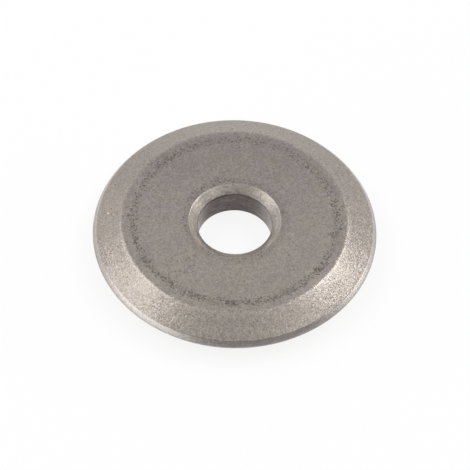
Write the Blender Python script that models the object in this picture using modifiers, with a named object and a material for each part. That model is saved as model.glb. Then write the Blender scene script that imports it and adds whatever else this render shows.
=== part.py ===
# Tile cutter wheel: one solid disc of sintered tungsten carbide. Each face has a flat pad round a
# chamfered bore, a very shallow groove near the pad's rim and a wide bevel, and two steeper flanks
# meet in the cutting edge. Both faces are alike.
# Metres, +Z up. The wheel lies on its lower pad, and the origin is under the middle of the bore.

import math

import bpy
from mathutils import Vector

# The wheel
OUTER_DIAMETER = 0.0230
BORE_DIAMETER = 0.0060
THICKNESS = 0.0032  # from pad to pad

# The bore's mouth
CHAMFER_WIDTH = 0.00074
CHAMFER_DEPTH = 0.00054

# The cutting edge and the wide bevel behind it
EDGE_ANGLE = math.radians(116.0)  # between its two flanks
EDGE_WIDTH = 0.00028  # each flank, measured along the radius
BEVEL_WIDTH = 0.00206

# The rim of the pad, from the bevel inwards
SHOULDER_WIDTH = 0.00042  # the strip between the groove and the bevel
GROOVE_WIDTH = 0.00070
GROOVE_DEPTH = 0.00001
GROOVE_SIDE = 0.00025  # run of each side of the groove, down to its floor

# Roundings
CHAMFER_RADIUS = 0.00010
SHOULDER_RADIUS = 0.00050
FLANK_RADIUS = 0.00015
TIP_RADIUS = 0.00010

# Facets
SIDES = 96
LARGEST_TURN = math.radians(27.0)  # from one facet of a rounding to the next
SHARP_ANGLE = math.radians(30.0)
MERGE_DISTANCE = 0.000001

# Finish: warm grey, as it comes from the furnace
CARBIDE_COLOUR = (0.31, 0.28, 0.26, 1.0)
CARBIDE_ROUGHNESS = 0.45
CARBIDE_METALLIC = 1.0


# The corners of the section over the middle plane, from the bore out to the cutting edge.
# Each has the radius of its rounding, and z is measured from the middle plane.
def upper_corners():
    pad_z = THICKNESS / 2
    bore_radius = BORE_DIAMETER / 2
    bevel_bottom = OUTER_DIAMETER / 2 - EDGE_WIDTH
    bevel_top = bevel_bottom - BEVEL_WIDTH
    groove_outer = bevel_top - SHOULDER_WIDTH
    groove_inner = groove_outer - GROOVE_WIDTH
    edge_half_height = (sharp_tip_radius() - bevel_bottom) * math.tan(EDGE_ANGLE / 2)
    return [
        (Vector((bore_radius, pad_z - CHAMFER_DEPTH)), CHAMFER_RADIUS),
        (Vector((bore_radius + CHAMFER_WIDTH, pad_z)), CHAMFER_RADIUS),
        (Vector((groove_inner, pad_z)), 0.0),
        (Vector((groove_inner + GROOVE_SIDE, pad_z - GROOVE_DEPTH)), 0.0),
        (Vector((groove_outer - GROOVE_SIDE, pad_z - GROOVE_DEPTH)), 0.0),
        (Vector((groove_outer, pad_z)), 0.0),
        (Vector((bevel_top, pad_z)), SHOULDER_RADIUS),
        (Vector((bevel_bottom, edge_half_height)), FLANK_RADIUS),
    ]


# The flanks would meet this far out if the edge were not rounded back to the outer diameter.
def sharp_tip_radius():
    return OUTER_DIAMETER / 2 + TIP_RADIUS * (1 / math.sin(EDGE_ANGLE / 2) - 1)


# The closed section: down the outer side from the upper pad to the lower, and back up the bore.
def section_corners():
    upper = upper_corners()
    tip = (Vector((sharp_tip_radius(), 0.0)), TIP_RADIUS)
    lower = [(Vector((corner.x, -corner.y)), radius) for corner, radius in reversed(upper)]
    return upper + [tip] + lower


# Points along the arc that rounds a corner and touches both of its sides. One point lies in the
# middle of the arc, so that the cutting edge reaches the full outer diameter.
def rounded_corner(before, corner, after, radius):
    if radius == 0:
        return [corner]
    towards_before = (before - corner).normalized()
    towards_after = (after - corner).normalized()
    half_angle = towards_before.angle(towards_after) / 2
    bisector = (towards_before + towards_after).normalized()
    centre = corner + bisector * (radius / math.sin(half_angle))
    reach = radius / math.tan(half_angle)
    start = (corner + towards_before * reach - centre).normalized()
    end = (corner + towards_after * reach - centre).normalized()
    steps = 2 * math.ceil((math.pi / 2 - half_angle) / LARGEST_TURN)
    return [centre + start.slerp(end, step / steps) * radius for step in range(steps + 1)]


def section_points():
    corners = section_corners()
    points = []
    for index, (corner, radius) in enumerate(corners):
        before = corners[index - 1][0]
        after = corners[(index + 1) % len(corners)][0]
        points += rounded_corner(before, corner, after, radius)
    return points


# The section as a closed loop of edges at +X, standing on the lower pad.
def make_section(name):
    points = [(point.x, 0.0, point.y + THICKNESS / 2) for point in section_points()]
    edges = [(index, (index + 1) % len(points)) for index in range(len(points))]
    mesh = bpy.data.meshes.new(name)
    mesh.from_pydata(points, edges, [])
    return bpy.data.objects.new(name, mesh)


# The section turned once round Z.
def turn(section):
    screw = section.modifiers.new("turned", "SCREW")
    screw.axis = "Z"
    screw.angle = math.tau
    screw.steps = SIDES
    screw.render_steps = SIDES
    screw.use_merge_vertices = True
    screw.merge_threshold = MERGE_DISTANCE


# The turned shape as a mesh, smooth along its cones and roundings and sharp at its plain corners.
def shade(wheel):
    bpy.context.view_layer.update()
    graph = bpy.context.evaluated_depsgraph_get()
    section_mesh = wheel.data
    wheel.data = bpy.data.meshes.new_from_object(wheel.evaluated_get(graph))
    wheel.modifiers.clear()
    bpy.data.meshes.remove(section_mesh)
    wheel.data.name = wheel.name
    wheel.data.shade_smooth()
    wheel.data.set_sharp_from_angle(angle=SHARP_ANGLE)


def sintered_carbide():
    material = bpy.data.materials.new("sintered_carbide")
    material.use_nodes = True
    shader = material.node_tree.nodes["Principled BSDF"]
    shader.inputs["Base Color"].default_value = CARBIDE_COLOUR
    shader.inputs["Roughness"].default_value = CARBIDE_ROUGHNESS
    shader.inputs["Metallic"].default_value = CARBIDE_METALLIC
    return material


def main():
    for obj in list(bpy.data.objects):
        bpy.data.objects.remove(obj, do_unlink=True)
    parts = bpy.data.collections.new("tile_cutter_wheel")
    bpy.context.scene.collection.children.link(parts)
    wheel = make_section("cutter_wheel")
    parts.objects.link(wheel)
    turn(wheel)
    shade(wheel)
    wheel.data.materials.append(sintered_carbide())


main()
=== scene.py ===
import math

import bmesh
import bpy
from mathutils import Matrix, Vector


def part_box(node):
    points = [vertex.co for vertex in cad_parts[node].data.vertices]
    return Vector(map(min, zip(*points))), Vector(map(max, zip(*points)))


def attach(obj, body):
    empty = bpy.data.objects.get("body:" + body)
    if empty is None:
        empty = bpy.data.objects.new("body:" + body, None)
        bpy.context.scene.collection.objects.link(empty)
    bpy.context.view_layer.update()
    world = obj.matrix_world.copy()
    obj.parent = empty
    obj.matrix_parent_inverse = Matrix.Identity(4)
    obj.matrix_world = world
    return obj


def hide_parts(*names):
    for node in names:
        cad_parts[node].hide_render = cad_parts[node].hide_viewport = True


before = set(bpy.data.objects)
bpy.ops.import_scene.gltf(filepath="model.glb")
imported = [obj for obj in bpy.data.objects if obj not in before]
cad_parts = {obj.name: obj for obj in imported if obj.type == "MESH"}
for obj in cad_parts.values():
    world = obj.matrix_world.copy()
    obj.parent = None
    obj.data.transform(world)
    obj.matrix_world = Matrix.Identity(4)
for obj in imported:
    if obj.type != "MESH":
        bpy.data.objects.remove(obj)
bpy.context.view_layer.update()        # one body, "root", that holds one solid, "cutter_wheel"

mm = 0.001               # the scene is in metres
pastRim = (20.0, 21.0)   # mm: the end of a ring that runs on past the rim

print("camera")

# A long lens that looks down on the wheel from the near side. The middle of the upper pad is
# aimed at the pixel where the photograph shows it.
cameraSet = {
    "imageSize": 470,              # pixels, each way
    "sensorWidth": 36.0,           # mm
    "lens": 306.8,                 # mm
    "distance": 323.3 * mm,        # from the middle of the upper pad
    "elevation": 52.88,            # degrees over the floor
    "roll": 1.19,                  # degrees: the wheel leans a little to the right
    "padMiddle": (234.9, 220.1),   # pixel, from the left and from the top
    "clip": (0.01, 100.0),         # the nearest and the furthest seen, as shares of the distance
}


def addCamera(values, target):
    tilt = math.radians(values["elevation"])
    back = Vector((0, -math.cos(tilt), math.sin(tilt)))
    nearest, furthest = values["clip"]
    data = bpy.data.cameras.new("camera")
    data.sensor_width = values["sensorWidth"]
    data.lens = values["lens"]
    data.clip_start = values["distance"] * nearest
    data.clip_end = values["distance"] * furthest
    pixel = values["sensorWidth"] / values["imageSize"] / values["lens"]
    middle = values["imageSize"] / 2
    right = (values["padMiddle"][0] - middle) * pixel
    up = (middle - values["padMiddle"][1]) * pixel
    look = (-back).to_track_quat("-Z", "Y")
    lean = Matrix.Rotation(math.radians(values["roll"]), 3, "Z").to_quaternion()
    aim = Vector((right, up, -1)).rotation_difference(Vector((0, 0, -1)))
    camera = bpy.data.objects.new("camera", data)
    camera.rotation_mode = "QUATERNION"
    camera.location = target + back * values["distance"]
    camera.rotation_quaternion = look @ lean @ aim
    bpy.context.scene.collection.objects.link(camera)
    bpy.context.scene.camera = camera


low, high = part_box("cutter_wheel")
addCamera(cameraSet, Vector((0, 0, high.z)))

print("wheel")

# The rim and the two pads come from the frame, and these make the section between them.
wheel = {
    "boreRadius": 3.0 * mm,
    "chamferWidth": 0.74 * mm,
    "chamferDepth": 0.54 * mm,
    "flankWidth": 0.28 * mm,       # each side of the cutting edge, along the radius
    "flankSlope": 58.0,            # degrees from the pad
    "bevelWidth": 2.06 * mm,
    "shoulderWidth": 0.42 * mm,    # between the groove and the bevel
    "grooveWidth": 0.70 * mm,
    "grooveDepth": 0.01 * mm,
    "grooveSide": 0.25 * mm,       # run of each side, down to its floor
    "chamferRounding": 0.10 * mm,
    "grooveRounding": 0.12 * mm,
    "shoulderRounding": 0.50 * mm,
    "flankRounding": 0.15 * mm,
    "tipRounding": 0.10 * mm,
    "roundingSteps": 4,
    "longestFace": 0.30 * mm,      # along the section
    "longestFineFace": 0.11 * mm,  # along it over the groove and the shoulder
    "fineStart": 7.8 * mm,
    "fineEnd": 9.6 * mm,
    "turnSteps": 704,
    "mergeDistance": 0.0005 * mm,
    "smoothAngle": 40.0,           # degrees
    # The furnace left the skin uneven. Each kind of lump goes inwards only, by up to its height, on
    # a ring that starts, is full, is last full and ends at these distances from the axle, in mm.
    "lumps": {
        "skin": {"size": 0.80 * mm, "height": 0.012 * mm, "place": (3.0, 3.8, 11.1, 11.3)},
        "groovePits": {"size": 0.24 * mm, "height": 0.014 * mm, "place": (7.8, 8.0, 8.5, 8.8)},
        "crestWear": {"size": 0.50 * mm, "height": 0.010 * mm, "place": (8.9, 9.1, 9.3, 9.6)},
        "edgeNicks": {"size": 0.35 * mm, "height": 0.014 * mm, "place": (11.1, 11.25, *pastRim)},
    },
}


def startEdit(piece):
    bpy.ops.object.select_all(action="DESELECT")
    piece.select_set(True)
    bpy.context.view_layer.objects.active = piece
    bpy.ops.object.mode_set(mode="EDIT")
    bpy.ops.mesh.select_mode(type="VERT")


def pickVerts(test):
    bpy.ops.mesh.select_all(action="DESELECT")
    mesh = bpy.context.object.data
    shape = bmesh.from_edit_mesh(mesh)
    for vert in shape.verts:
        vert.select_set(test(vert.co))
    shape.select_flush_mode()
    bmesh.update_edit_mesh(mesh)


# Stands a flat plate upright beside the axis, to be cut to one half of the wheel's section.
def addPlate(inner, outer, bottom, top):
    bpy.ops.object.select_all(action="DESELECT")
    bpy.ops.mesh.primitive_plane_add(
        size=1,
        location=((inner + outer) / 2, 0, (bottom + top) / 2),
        rotation=(math.pi / 2, 0, 0),
    )
    piece = bpy.context.object
    piece.name = "tile_cutter_wheel"
    piece.data.name = "tile_cutter_wheel"
    piece.scale = (outer - inner, top - bottom, 1)
    bpy.ops.object.transform_apply(location=True, rotation=True, scale=True)
    return piece


# Cuts the section along a line given over the middle plane, and along its mirror image under it.
def cutSection(start, end, middle, merge, clear):
    run, rise = end[0] - start[0], end[1] - start[1]
    for side in (1, -1):
        bpy.ops.mesh.select_all(action="SELECT")
        bpy.ops.mesh.bisect(
            plane_co=(start[0], 0, middle + side * start[1]),
            plane_no=Vector((-rise, 0, side * run)).normalized(),
            clear_outer=clear,
            threshold=merge,
        )


# Moves the section's points between two radii towards the middle plane, from both sides. Points
# nearer to that plane than a given height stay.
def sinkSection(inner, outer, nearest, depth, middle, merge):
    for side in (1, -1):
        pickVerts(
            lambda co: inner - merge < co.x < outer + merge and side * (co.z - middle) > nearest
        )
        bpy.ops.transform.translate(value=(0, 0, -side * depth))


# Rounds the corners at a radius and height. The offset runs along each side up to the arc.
def roundCorners(x, height, middle, radius, steps, merge):
    pickVerts(lambda co: abs(co.x - x) < merge and abs(abs(co.z - middle) - height) < merge)
    shape = bmesh.from_edit_mesh(bpy.context.object.data)
    corner = next(vert for vert in shape.verts if vert.select)
    ways = [(edge.other_vert(corner).co - corner.co) for edge in corner.link_edges]
    turn = math.pi - ways[0].angle(ways[1])
    bpy.ops.mesh.bevel(
        affect="VERTICES",
        offset_type="OFFSET",
        offset=radius * math.tan(turn / 2),
        segments=steps,
    )


# Divides the section's edges between two radii into equal parts, where they are too long.
def splitLongEdges(longest, inner, outer):
    mesh = bpy.context.object.data
    bpy.ops.mesh.select_mode(type="EDGE")
    while True:
        bpy.ops.mesh.select_all(action="DESELECT")
        shape = bmesh.from_edit_mesh(mesh)
        parts = {
            edge: math.ceil(edge.calc_length() / longest)
            for edge in shape.edges
            if inner < (edge.verts[0].co.x + edge.verts[1].co.x) / 2 < outer
        }
        most = max(parts.values())
        if most == 1:
            break
        for edge in parts:
            edge.select_set(parts[edge] == most)
        bmesh.update_edit_mesh(mesh)
        bpy.ops.mesh.subdivide(number_cuts=most - 1)
    bpy.ops.mesh.select_mode(type="VERT")


def shapeSection(values, low, high):
    middle = (low.z + high.z) / 2
    merge = values["mergeDistance"]
    bore, rim = values["boreRadius"], high.x
    pad = (high.z - low.z) / 2                       # height over the middle plane
    bevelBottom = rim - values["flankWidth"]
    bevelTop = bevelBottom - values["bevelWidth"]
    grooveOuter = bevelTop - values["shoulderWidth"]
    grooveInner = grooveOuter - values["grooveWidth"]
    grooveFloor = pad - values["grooveDepth"]
    floorInner = grooveInner + values["grooveSide"]
    floorOuter = grooveOuter - values["grooveSide"]
    slope = math.radians(values["flankSlope"])
    tip = rim + values["tipRounding"] * (1 / math.sin(slope) - 1)    # before it is rounded
    flankTop = (tip - bevelBottom) * math.tan(slope)
    chamferOuter = bore + values["chamferWidth"]
    chamferBottom = pad - values["chamferDepth"]

    piece = addPlate(bore, tip, low.z, high.z)
    startEdit(piece)
    cutSection((bore, chamferBottom), (chamferOuter, pad), middle, merge, True)
    cutSection((bevelTop, pad), (bevelBottom, flankTop), middle, merge, True)
    cutSection((bevelBottom, flankTop), (tip, 0), middle, merge, True)
    for x in (grooveInner, floorInner, floorOuter, grooveOuter):
        cutSection((x, 0), (x, pad), middle, merge, False)
    sinkSection(floorInner, floorOuter, pad / 2, values["grooveDepth"], middle, merge)
    bpy.ops.mesh.select_all(action="SELECT")
    bpy.ops.mesh.dissolve_faces()

    for x, height, rounding in (
        (bore, chamferBottom, "chamferRounding"),
        (chamferOuter, pad, "chamferRounding"),
        (grooveInner, pad, "grooveRounding"),
        (floorInner, grooveFloor, "grooveRounding"),
        (bevelTop, pad, "shoulderRounding"),
        (bevelBottom, flankTop, "flankRounding"),
        (tip, 0, "tipRounding"),
    ):
        roundCorners(x, height, middle, values[rounding], values["roundingSteps"], merge)

    bpy.ops.mesh.select_all(action="SELECT")
    bpy.ops.mesh.delete(type="ONLY_FACE")
    splitLongEdges(values["longestFineFace"], values["fineStart"], values["fineEnd"])
    splitLongEdges(values["longestFace"], 0, tip)
    print("section points:", len(bmesh.from_edit_mesh(piece.data).verts))
    bpy.ops.object.mode_set(mode="OBJECT")
    return piece


# Turns the section's outline round the axis, and points the faces outwards.
def turnSection(piece, values):
    turn = piece.modifiers.new("turn", "SCREW")
    turn.steps = turn.render_steps = values["turnSteps"]
    turn.use_merge_vertices = True
    turn.merge_threshold = values["mergeDistance"]
    bpy.ops.object.modifier_apply(modifier=turn.name)
    startEdit(piece)
    bpy.ops.mesh.select_all(action="SELECT")
    bpy.ops.mesh.remove_doubles(threshold=values["mergeDistance"])
    bpy.ops.mesh.normals_make_consistent(inside=False)
    bpy.ops.object.mode_set(mode="OBJECT")


def ringWeight(radius, place):
    start, full, last, end = place
    return max(0.0, min(1.0, (radius - start) / (full - start), (end - radius) / (end - last)))


def addLumps(piece, values):
    for name, lump in values["lumps"].items():
        group = piece.vertex_groups.new(name=name)
        for vert in piece.data.vertices:
            weight = ringWeight(vert.co.xy.length / mm, lump["place"])
            if weight > 0:
                group.add([vert.index], weight, "REPLACE")
        texture = bpy.data.textures.new(name, "CLOUDS")
        texture.noise_scale = lump["size"]
        displace = piece.modifiers.new(name, "DISPLACE")
        displace.texture = texture
        displace.texture_coords = "LOCAL"
        displace.vertex_group = name
        displace.strength = lump["height"]
        displace.mid_level = 1.0                     # so that nothing moves outwards
        bpy.ops.object.modifier_apply(modifier=name)


wheelPiece = shapeSection(wheel, low, high)
turnSection(wheelPiece, wheel)
addLumps(wheelPiece, wheel)
bpy.ops.object.shade_smooth_by_angle(angle=math.radians(wheel["smoothAngle"]))
print("wheel faces:", len(wheelPiece.data.polygons))

print("carbide")

# Sizes, heights and places are in mm, tones multiply the colour, and detail is the number of
# finer layers in a noise. A place gives the distances from the axle where a ring starts, is full,
# is last full and ends. A fade gives where it starts and is full, counted towards the far side.
carbide = {
    "colour": (0.353, 0.310, 0.294, 1),        # the sintered skin
    "warmColour": (0.357, 0.320, 0.283, 1),    # its yellower patches
    "groundColour": (0.500, 0.462, 0.435, 1),  # the ground cutting edge
    "slopeWarmth": 0.70,                       # how yellow the bevel and the chamfer are at least
    "roughness": 0.34,
    "groundRoughness": 0.39,
    "grain": {"size": 0.150, "detail": 1.0, "height": 0.010, "tone": 0.24},
    "mottle": {"size": 0.30, "detail": 2.0, "height": 0.006, "tone": 0.17, "roughness": 0.06},
    "cloud": {"size": 2.6, "detail": 1.0, "tone": 0.05},
    "ragged": {"size": 0.45, "detail": 2.0},   # moves the edges of the rings
    "patches": {
        "size": 1.9,
        "detail": 2.0,
        "edges": (0.3, 0.7),                   # of the noise, where a patch starts and is full
        "away": -0.014,                        # fewer of them towards the far side
    },
    "crystals": {
        "size": 0.080,
        "tilt": 0.120,                         # as a slope, from one side to the other
        "tone": 0.18,
        "padShare": 0.62,                      # how strong they are on the pads
        "chamferShare": 0.50,                  # on the chamfers
        "groundShare": 0.35,                   # and on the ground edge
    },
    "pits": {
        "size": 0.11,
        "depth": 0.004,
        "tone": 0.56,
        "base": -0.42,                         # share of pits where no ring adds any
        "cloud": 1.1,                          # how much the clouds add to it
        "near": 0.46,                          # how much the near side of the groove adds, as painted shade
        "level": 1.045,                        # chance that a pit needs, with a share of nought
        "change": -0.48,                       # what a share of one adds to it
        "edge": 0.10,                          # over which a pit gets its full tone
    },
    "pad": {
        "place": (3.60, 3.74, 8.5, 9.3),
        # The far and near tones are painted light: the pads are lit brighter on the near side.
        "farPaintedTone": 0.99,
        "nearPaintedTone": 1.13,
        "fade": (7.5, -1.0),                   # from the far tone to the near one
    },
    # A painted highlight on the near side of the chamfers
    "nearChamferHighlight": {
        "place": (3.02, 3.10, 3.60, 3.74),
        "fade": (-1.1, -2.6),
        "tone": 1.70,
    },
    # Painted shade: the far wall of the bore is darker and mauve.
    "farBoreShade": {
        "colour": (0.150, 0.125, 0.119, 1),
        "side": (-0.15, 0.99, 0),              # towards the far side of the bore, where the shade is painted
        "fade": (0.4, 2.9),                    # counted that way
    },
    "streaks": {
        "size": 0.50,
        "detail": 2.0,
        "stretch": (0.4, 0.4, 3.0),            # along the bore's wall, and up it
        "tone": 0.55,
    },
    # Ragged is how far a ring's edges wander each way, and pits is what it adds to their share.
    "rings": {
        # The bore's tone darkens its whole wall: painted shade in the hole.
        "bore": {"place": (0.0, 0.1, 3.02, 3.06), "ragged": 0.0, "tone": 0.73, "pits": 0.0},
        "mouth": {"place": (2.98, 3.01, 3.08, 3.25), "ragged": 0.1, "tone": 1.12, "pits": 0.0},
        "chamfer": {"place": (3.02, 3.06, 3.70, 3.78), "ragged": 0.0, "tone": 0.95, "pits": -0.3},
        "chamferTop": {"place": (3.10, 3.60, 3.72, 3.80), "ragged": 0.0, "tone": 1.23, "pits": 0.0},
        "chamferRim": {"place": (3.45, 3.62, 3.76, 3.82), "ragged": 0.0, "tone": 0.86, "pits": 0.0},
        "boreRim": {"place": (3.74, 3.80, 3.95, 4.7), "ragged": 0.1, "tone": 0.90, "pits": 0.35},
        "grooveEdge": {"place": (7.90, 8.06, 8.36, 8.70), "ragged": 0.3, "tone": 0.945, "pits": 0.08},
        "groove": {"place": (7.75, 8.05, 8.40, 8.80), "ragged": 0.4, "tone": 0.99, "pits": 0.38},
        "crest": {"place": (8.60, 9.15, 9.26, 9.45), "ragged": 0.1, "tone": 1.09, "pits": 0.0},
        "bevel": {"place": (9.10, 9.25, *pastRim), "ragged": 0.0, "tone": 0.955, "pits": 0.0},
        "edgeLine": {"place": (11.10, 11.17, 11.24, 11.31), "ragged": 0.0, "tone": 1.12, "pits": 0.0},
        "ground": {"place": (11.18, 11.22, *pastRim), "ragged": 0.0, "tone": 1.0, "pits": 0.0},
        # The tip's tone darkens the cutting edge's rounding: painted shade.
        "tip": {"place": (11.38, 11.44, *pastRim), "ragged": 0.0, "tone": 0.88, "pits": 0.0},
    },
    # Soft stains, and spots of painted highlight on the chamfer's mouth, the crest and one glint. An
    # azimuth runs from the right towards the back, in degrees, a distance from the axle and a depth
    # from the pad.
    # At its size from its centre, a spot has faded.
    "stains": {
        "rightSmudge": {"azimuth": 326, "distance": 8.35, "depth": 0.0, "size": 0.45, "tone": 0.70},
        "nearRightSmudge": {"azimuth": 303, "distance": 8.30, "depth": 0.0, "size": 0.55, "tone": 0.78},
        "farRightSmudge": {"azimuth": 350, "distance": 8.10, "depth": 0.0, "size": 0.60, "tone": 0.82},
        "leftSmudge": {"azimuth": 210, "distance": 8.20, "depth": 0.0, "size": 0.80, "tone": 0.84},
        "nearSmudge": {"azimuth": 268, "distance": 8.25, "depth": 0.0, "size": 0.90, "tone": 0.78},
        "farLeftSmudge": {"azimuth": 135, "distance": 8.30, "depth": 0.0, "size": 1.60, "tone": 0.90},
        "boreRightSmudge": {"azimuth": 13, "distance": 4.00, "depth": 0.0, "size": 0.38, "tone": 0.68},
        # A painted highlight on the near right of the chamfer
        "mouthHighlight": {"azimuth": 325, "distance": 3.55, "depth": 0.15, "size": 1.00, "tone": 1.12},
        # Painted highlights on the crest, where the lamps catch it
        "rightCrestHighlight": {"azimuth": 318, "distance": 9.25, "depth": 0.0, "size": 2.00, "tone": 1.17},
        "leftCrestHighlight": {"azimuth": 223, "distance": 9.25, "depth": 0.0, "size": 1.50, "tone": 1.12},
        "leftGlint": {"azimuth": 175, "distance": 10.33, "depth": 0.66, "size": 0.14, "tone": 2.80},
    },
    "stainEdge": 0.9,                          # how far the noise breaks a stain's outline
}


# A node with its settings. An input is set, or linked where a socket is given.
def addNode(tree, kind, inputs=None, **settings):
    node = tree.nodes.new("ShaderNode" + kind)
    for name, value in settings.items():
        setattr(node, name, value)
    for name, value in (inputs or {}).items():
        if isinstance(value, bpy.types.NodeSocket):
            tree.links.new(value, node.inputs[name])
        else:
            node.inputs[name].default_value = value
    return node


def maths(tree, operation, *values):
    return addNode(tree, "Math", dict(enumerate(values)), operation=operation).outputs[0]


def vectorMaths(tree, operation, *values):
    return addNode(tree, "VectorMath", dict(enumerate(values)), operation=operation).outputs


def scaled(tree, vector, factor):
    inputs = {0: vector, "Scale": factor}
    return addNode(tree, "VectorMath", inputs, operation="SCALE").outputs[0]


def times(tree, first, *factors):
    product = first
    for factor in factors:
        product = maths(tree, "MULTIPLY", product, factor)
    return product


# The sockets are known by number only: the share is 0, the colours are 6 and 7, and the mix is 2.
def mixColours(tree, share, first, second):
    inputs = {0: share, 6: first, 7: second}
    return addNode(tree, "Mix", inputs, data_type="RGBA").outputs[2]


def fade(tree, value, start, full):
    inputs = {"Value": value, "From Min": start, "From Max": full}
    return addNode(tree, "MapRange", inputs, interpolation_type="SMOOTHSTEP").outputs[0]


# Turns a noise, which lies about a half, into one about nought.
def aboutNought(tree, value):
    return maths(tree, "SUBTRACT", value, 0.5)


# Turns a noise, which lies about a half, into a factor about one.
def aboutOne(tree, value, spread):
    return maths(tree, "MULTIPLY_ADD", value, 2 * spread, 1 - spread)


# The same, where a mask holds. The factor is one off it.
def maskedNoise(tree, mask, value, spread):
    lean = times(tree, aboutNought(tree, value), mask)
    return maths(tree, "MULTIPLY_ADD", lean, 2 * spread, 1)


# A factor that is one off a mask and the tone on it
def masked(tree, mask, tone):
    return maths(tree, "MULTIPLY_ADD", mask, tone - 1, 1)


# A random colour in each cell of a pattern whose size is given in mm
def cellColours(tree, place, size):
    scale = maths(tree, "DIVIDE", 1.0, size)
    return addNode(tree, "TexVoronoi", {"Vector": place, "Scale": scale}).outputs["Color"]


def newGroup(name, inputs, outputs):
    tree = bpy.data.node_groups.new(name, "ShaderNodeTree")
    for direction, sockets in (("INPUT", inputs), ("OUTPUT", outputs)):
        for socketName, kind in sockets.items():
            tree.interface.new_socket(socketName, in_out=direction, socket_type="NodeSocket" + kind)
    return tree, tree.nodes.new("NodeGroupInput").outputs, tree.nodes.new("NodeGroupOutput").inputs


def useGroup(tree, group, inputs=None):
    return addNode(tree, "Group", inputs, node_tree=group).outputs


# Noise whose size is given in mm
def noiseGroup():
    tree, inputs, outputs = newGroup(
        "sizedNoise", {"Place": "Vector", "Size": "Float", "Detail": "Float"}, {"Noise": "Float"}
    )
    scale = maths(tree, "DIVIDE", 1.0, inputs["Size"])
    wanted = {"Vector": inputs["Place"], "Scale": scale, "Detail": inputs["Detail"]}
    tree.links.new(addNode(tree, "TexNoise", wanted).outputs[0], outputs["Noise"])
    return tree


def noise(tree, place, look):
    inputs = {"Place": place, "Size": look["size"], "Detail": look["detail"]}
    return useGroup(tree, sizedNoise, inputs)["Noise"]


# The place on the wheel in mm, its distance from the axle, how far it lies towards the back, and
# a noise about nought that makes the edges of rings ragged
def placeGroup(ragged):
    names = {"Place": "Vector", "Radius": "Float", "Away": "Float", "Ragged": "Float"}
    tree, _, outputs = newGroup("wheelPlace", {}, names)
    coords = addNode(tree, "TexCoord").outputs["Object"]
    place = scaled(tree, coords, 1 / mm)
    parts = addNode(tree, "SeparateXYZ", {0: place}).outputs
    flat = addNode(tree, "CombineXYZ", {"X": parts["X"], "Y": parts["Y"]}).outputs[0]
    radius = vectorMaths(tree, "LENGTH", flat)["Value"]
    tree.links.new(place, outputs["Place"])
    tree.links.new(radius, outputs["Radius"])
    tree.links.new(aboutNought(tree, noise(tree, place, ragged)), outputs["Ragged"])
    tree.links.new(parts["Y"], outputs["Away"])
    return tree


# One on a ring of the wheel, and nought off it, with a soft start and end
def ringGroup():
    names = ("Radius", "Start", "Full", "Last", "End")
    tree, inputs, outputs = newGroup("ring", dict.fromkeys(names, "Float"), {"Mask": "Float"})
    rise = fade(tree, inputs["Radius"], inputs["Start"], inputs["Full"])
    fall = fade(tree, inputs["Radius"], inputs["Last"], inputs["End"])
    left = maths(tree, "SUBTRACT", 1.0, fall)
    tree.links.new(times(tree, rise, left), outputs["Mask"])
    return tree


def ringMask(tree, where, place, ragged=0.0):
    radius = maths(tree, "MULTIPLY_ADD", where["Ragged"], 2 * ragged, where["Radius"])
    limits = dict(zip(("Start", "Full", "Last", "End"), place))
    return useGroup(tree, ring, {"Radius": radius, **limits})["Mask"]


# Small dark pits, more of them where the amount is high
def pitGroup(look):
    tree, inputs, outputs = newGroup(
        "pits", {"Place": "Vector", "Size": "Float", "Amount": "Float"}, {"Pits": "Float"}
    )
    cells = cellColours(tree, inputs["Place"], inputs["Size"])
    chance = addNode(tree, "SeparateXYZ", {0: cells}).outputs["X"]
    level = maths(tree, "MULTIPLY_ADD", inputs["Amount"], look["change"], look["level"])
    top = maths(tree, "ADD", level, look["edge"])
    tree.links.new(fade(tree, chance, level, top), outputs["Pits"])
    return tree


# Small crystals, each with its own tilt and tone, so that they sparkle one by one
def crystalGroup():
    tree, inputs, outputs = newGroup(
        "crystals",
        {"Place": "Vector", "Size": "Float", "Tilt": "Float"},
        {"Normal": "Vector", "Tone": "Float"},
    )
    cells = cellColours(tree, inputs["Place"], inputs["Size"])
    lean = vectorMaths(tree, "SUBTRACT", cells, (0.5, 0.5, 0.5))[0]
    lean = scaled(tree, lean, inputs["Tilt"])
    normal = addNode(tree, "NewGeometry").outputs["Normal"]
    leaning = vectorMaths(tree, "ADD", normal, lean)[0]
    tree.links.new(vectorMaths(tree, "NORMALIZE", leaning)[0], outputs["Normal"])
    tree.links.new(addNode(tree, "SeparateXYZ", {0: cells}).outputs["Z"], outputs["Tone"])
    return tree


# A soft spot round a centre, with an outline that noise breaks up
def stainGroup(edge, edgeNoise):
    tree, inputs, outputs = newGroup(
        "stain", {"Place": "Vector", "Centre": "Vector", "Size": "Float"}, {"Stain": "Float"}
    )
    gap = vectorMaths(tree, "DISTANCE", inputs["Place"], inputs["Centre"])["Value"]
    share = maths(tree, "DIVIDE", gap, inputs["Size"])
    broken = maths(tree, "MULTIPLY_ADD", noise(tree, inputs["Place"], edgeNoise), 2 * edge, share)
    tree.links.new(fade(tree, broken, 1 + edge, edge), outputs["Stain"])
    return tree


def stainTone(tree, place, stains, padHeight):
    tones = []
    for look in stains.values():
        turn = Matrix.Rotation(math.radians(look["azimuth"]), 3, "Z")
        centre = turn @ Vector((look["distance"], 0, padHeight - look["depth"]))
        inputs = {"Place": place, "Centre": centre, "Size": look["size"]}
        tones.append(masked(tree, useGroup(tree, stain, inputs)["Stain"], look["tone"]))
    return times(tree, *tones)


# Painted light: the upper and the lower pad are brighter on the near side than on the far one.
def paintedPadLight(tree, pad, near, look):
    change = maths(tree, "MULTIPLY_ADD", near, look["nearPaintedTone"] - look["farPaintedTone"], look["farPaintedTone"] - 1)
    return maths(tree, "MULTIPLY_ADD", change, pad, 1)


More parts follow.
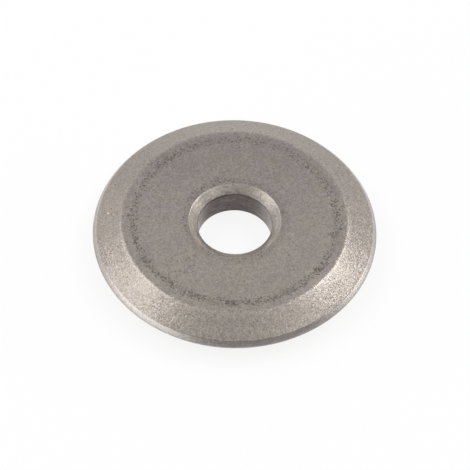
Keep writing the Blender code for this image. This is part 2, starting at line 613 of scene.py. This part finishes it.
# The near side of the chamfers is brightened: a painted highlight.
def paintedChamferHighlight(tree, where, look):
    wear = times(tree, ringMask(tree, where, look["place"]), fade(tree, where["Away"], *look["fade"]))
    return masked(tree, wear, look["tone"])


def streakTone(tree, place, bore, look):
    stretched = vectorMaths(tree, "MULTIPLY", place, look["stretch"])[0]
    return maskedNoise(tree, bore, noise(tree, stretched, look), look["tone"])


# Small dark pits, with more of them on the groove's near side as painted shade
def pitsAndNearShade(tree, place, cloud, near, masks, values):
    look = values["pits"]
    amount = maths(tree, "MULTIPLY_ADD", cloud, look["cloud"], look["base"])
    for name, ringLook in values["rings"].items():
        amount = maths(tree, "MULTIPLY_ADD", masks[name], ringLook["pits"], amount)
    amount = maths(tree, "MULTIPLY_ADD", times(tree, near, masks["groove"]), look["near"], amount)
    return useGroup(tree, pits, {"Place": place, "Size": look["size"], "Amount": amount})["Pits"]


# How strong the crystals are: less on the pad, the chamfer and the ground edge
def crystalStrength(tree, pad, masks, look):
    return times(
        tree,
        masked(tree, pad, look["padShare"]),
        masked(tree, masks["ground"], look["groundShare"]),
        masked(tree, masks["chamfer"], look["chamferShare"]),
    )


# The skin with its yellower patches and slopes, the ground edge and the painted shade on the far side
# of the bore
def carbideColour(tree, where, masks, values):
    look = values["patches"]
    patches = noise(tree, where["Place"], look)
    patches = maths(tree, "MULTIPLY_ADD", where["Away"], look["away"], patches)
    patches = fade(tree, patches, *look["edges"])
    slopes = maths(tree, "MAXIMUM", masks["bevel"], masks["chamfer"])
    warmth = maths(tree, "MAXIMUM", patches, times(tree, slopes, values["slopeWarmth"]))
    skin = mixColours(tree, warmth, values["colour"], values["warmColour"])
    skin = mixColours(tree, masks["ground"], skin, values["groundColour"])
    look = values["farBoreShade"]
    side = vectorMaths(tree, "DOT_PRODUCT", where["Place"], look["side"])["Value"]
    farBoreShade = times(tree, masks["bore"], fade(tree, side, *look["fade"]))
    return mixColours(tree, farBoreShade, skin, look["colour"])


def carbideMaterial(values, padHeight):
    material = bpy.data.materials.new("sintered_carbide")
    material.use_nodes = True
    tree = material.node_tree
    shader = tree.nodes["Principled BSDF"]
    shader.inputs["Metallic"].default_value = 1.0

    where = useGroup(tree, wheelPlace)
    place = where["Place"]
    grain, mottle, cloud = (noise(tree, place, values[name]) for name in ("grain", "mottle", "cloud"))
    masks = {
        name: ringMask(tree, where, look["place"], look["ragged"])
        for name, look in values["rings"].items()
    }
    pad = ringMask(tree, where, values["pad"]["place"])
    near = fade(tree, where["Away"], *values["pad"]["fade"])
    pitted = pitsAndNearShade(tree, place, cloud, near, masks, values)
    strength = crystalStrength(tree, pad, masks, values["crystals"])
    tilt = times(tree, strength, values["crystals"]["tilt"])
    inputs = {"Place": place, "Size": values["crystals"]["size"], "Tilt": tilt}
    crystal = useGroup(tree, crystals, inputs)

    # Tone
    shade = times(
        tree,
        aboutOne(tree, grain, values["grain"]["tone"]),
        aboutOne(tree, mottle, values["mottle"]["tone"]),
        aboutOne(tree, cloud, values["cloud"]["tone"]),
        *(masked(tree, masks[name], look["tone"]) for name, look in values["rings"].items()),
        stainTone(tree, place, values["stains"], padHeight),
        paintedPadLight(tree, pad, near, values["pad"]),
        paintedChamferHighlight(tree, where, values["nearChamferHighlight"]),
        streakTone(tree, place, masks["bore"], values["streaks"]),
        masked(tree, pitted, values["pits"]["tone"]),
        maskedNoise(tree, strength, crystal["Tone"], values["crystals"]["tone"]),
    )
    colour = scaled(tree, carbideColour(tree, where, masks, values), shade)
    tree.links.new(colour, shader.inputs["Base Color"])

    # Roughness
    spread = values["mottle"]["roughness"]
    rough = maths(tree, "MULTIPLY_ADD", mottle, 2 * spread, values["roughness"] - spread)
    extra = values["groundRoughness"] - values["roughness"]
    rough = maths(tree, "MULTIPLY_ADD", masks["ground"], extra, rough)
    tree.links.new(rough, shader.inputs["Roughness"])

    # Relief: the tilted crystals, and the grain, lumps and pits over them
    relief = times(tree, grain, values["grain"]["height"], strength)
    relief = maths(tree, "MULTIPLY_ADD", mottle, values["mottle"]["height"], relief)
    relief = maths(tree, "MULTIPLY_ADD", pitted, -values["pits"]["depth"], relief)
    inputs = {"Strength": 1.0, "Distance": mm, "Height": relief, "Normal": crystal["Normal"]}
    tree.links.new(addNode(tree, "Bump", inputs).outputs[0], shader.inputs["Normal"])
    return material


sizedNoise = noiseGroup()
wheelPlace = placeGroup(carbide["ragged"])
ring = ringGroup()
pits = pitGroup(carbide["pits"])
crystals = crystalGroup()
stain = stainGroup(carbide["stainEdge"], carbide["mottle"])
wheelPiece.data.materials.append(carbideMaterial(carbide, high.z / mm))
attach(wheelPiece, "root")
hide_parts("cutter_wheel")

print("studio")

# Levels are brightnesses, where 1 shows as plain white.
studio = {
    "floorSize": 8.0,              # m
    "floorColour": (0.95, 0.95, 0.95, 1),
    "floorDrop": 0.005 * mm,       # under the wheel
    "floorWhite": 0.86,            # share of plain white where the floor is seen or mirrored
    "lampDistance": 2.0,           # m
    # azimuth from the right towards the back, elevation over the floor, half sizes in degrees
    "lamps": {
        "rightBox": {"azimuth": 25.5, "elevation": 50.3, "wide": 12.8, "tall": 12.3, "level": 4.15},
        "leftBox": {"azimuth": 167.0, "elevation": 50.0, "wide": 18.0, "tall": 15.0, "level": 2.24},
        "rightStrip": {"azimuth": 4.5, "elevation": 4.0, "wide": 13.0, "tall": 7.1, "level": 4.90},
        "leftStrip": {"azimuth": 208.0, "elevation": 4.0, "wide": 30.0, "tall": 7.8, "level": 2.95},
        "rightPanel": {"azimuth": 8.0, "elevation": 29.0, "wide": 13.0, "tall": 9.0, "level": 0.92},
        "leftPanel": {"azimuth": 190.0, "elevation": 22.0, "wide": 22.0, "tall": 9.0, "level": 1.30},
        "rightFill": {"azimuth": 62.0, "elevation": 54.0, "wide": 12.0, "tall": 8.0, "level": 0.32},
        "leftFill": {"azimuth": 118.0, "elevation": 54.0, "wide": 12.0, "tall": 8.0, "level": 0.25},
        "rightWing": {"azimuth": 333.0, "elevation": 53.0, "wide": 12.0, "tall": 10.0, "level": 0.64},
        "rightLow": {"azimuth": 41.0, "elevation": 22.0, "wide": 14.0, "tall": 10.0, "level": 0.42},
        "leftLow": {"azimuth": 141.0, "elevation": 23.0, "wide": 13.0, "tall": 13.0, "level": 0.53},
        "frontPanel": {"azimuth": 270.0, "elevation": 72.3, "wide": 45.0, "tall": 20.1, "level": 0.71},
        "backPanel": {"azimuth": 90.0, "elevation": 43.0, "wide": 40.0, "tall": 18.0, "level": 0.28},
        "topPanel": {"azimuth": 90.0, "elevation": 75.0, "wide": 12.0, "tall": 13.0, "level": 0.45},
    },
    "worldLevel": 0.52,            # at the horizon, to the sides
    "worldAway": 0.64,             # brighter behind the wheel, darker on the camera's side
    "worldUp": -0.85,              # darker overhead
    "worldLeast": 0.18,
}


def addFloor(values):
    bpy.ops.object.select_all(action="DESELECT")
    bpy.ops.mesh.primitive_plane_add(size=values["floorSize"], location=(0, 0, -values["floorDrop"]))
    floor = bpy.context.object
    floor.name = "floor"
    material = bpy.data.materials.new("floor")
    material.use_nodes = True
    tree = material.node_tree
    shader = tree.nodes["Principled BSDF"]
    shader.inputs["Base Color"].default_value = values["floorColour"]
    shader.inputs["Roughness"].default_value = 1.0
    shader.inputs["Specular IOR Level"].default_value = 0.0
    # Seen directly or mirrored in the metal, part of the floor is plain white.
    path = addNode(tree, "LightPath").outputs
    seen = maths(tree, "MAXIMUM", path["Is Camera Ray"], path["Is Glossy Ray"])
    seen = maths(tree, "MAXIMUM", seen, path["Is Transmission Ray"])
    white = addNode(tree, "Emission", {"Color": (1, 1, 1, 1), "Strength": 1.0}).outputs[0]
    share = times(tree, seen, values["floorWhite"])
    mix = addNode(tree, "MixShader", {0: share, 1: shader.outputs[0], 2: white}).outputs[0]
    tree.links.new(mix, tree.nodes["Material Output"].inputs["Surface"])
    floor.data.materials.append(material)


def addLamp(name, values, distance):
    azimuth, elevation = math.radians(values["azimuth"]), math.radians(values["elevation"])
    way = Vector((
        math.cos(elevation) * math.cos(azimuth),
        math.cos(elevation) * math.sin(azimuth),
        math.sin(elevation),
    ))
    data = bpy.data.lights.new(name, "AREA")
    data.shape = "RECTANGLE"
    data.size = 2 * distance * math.tan(math.radians(values["wide"]))
    data.size_y = 2 * distance * math.tan(math.radians(values["tall"]))
    data.energy = math.pi * data.size * data.size_y * values["level"]
    lamp = bpy.data.objects.new(name, data)
    lamp.rotation_mode = "QUATERNION"
    lamp.rotation_quaternion = (-way).to_track_quat("-Z", "Y")
    lamp.location = way * distance
    bpy.context.scene.collection.objects.link(lamp)


def addWorld(values):
    world = bpy.data.worlds.new("studio")
    world.use_nodes = True
    tree = world.node_tree
    background = tree.nodes["Background"]
    place = addNode(tree, "TexCoord").outputs["Generated"]
    parts = addNode(tree, "SeparateXYZ", {"Vector": place}).outputs
    away = maths(tree, "MULTIPLY_ADD", parts["Y"], values["worldAway"], values["worldLevel"])
    up = maths(tree, "MULTIPLY_ADD", parts["Z"], values["worldUp"], away)
    level = maths(tree, "MAXIMUM", up, values["worldLeast"])
    tree.links.new(level, background.inputs["Strength"])
    background.inputs["Color"].default_value = (1, 1, 1, 1)
    bpy.context.scene.world = world


addFloor(studio)
for lampName, lampValues in studio["lamps"].items():
    addLamp(lampName, lampValues, studio["lampDistance"])
addWorld(studio)

bpy.context.scene.view_settings.view_transform = "Standard"
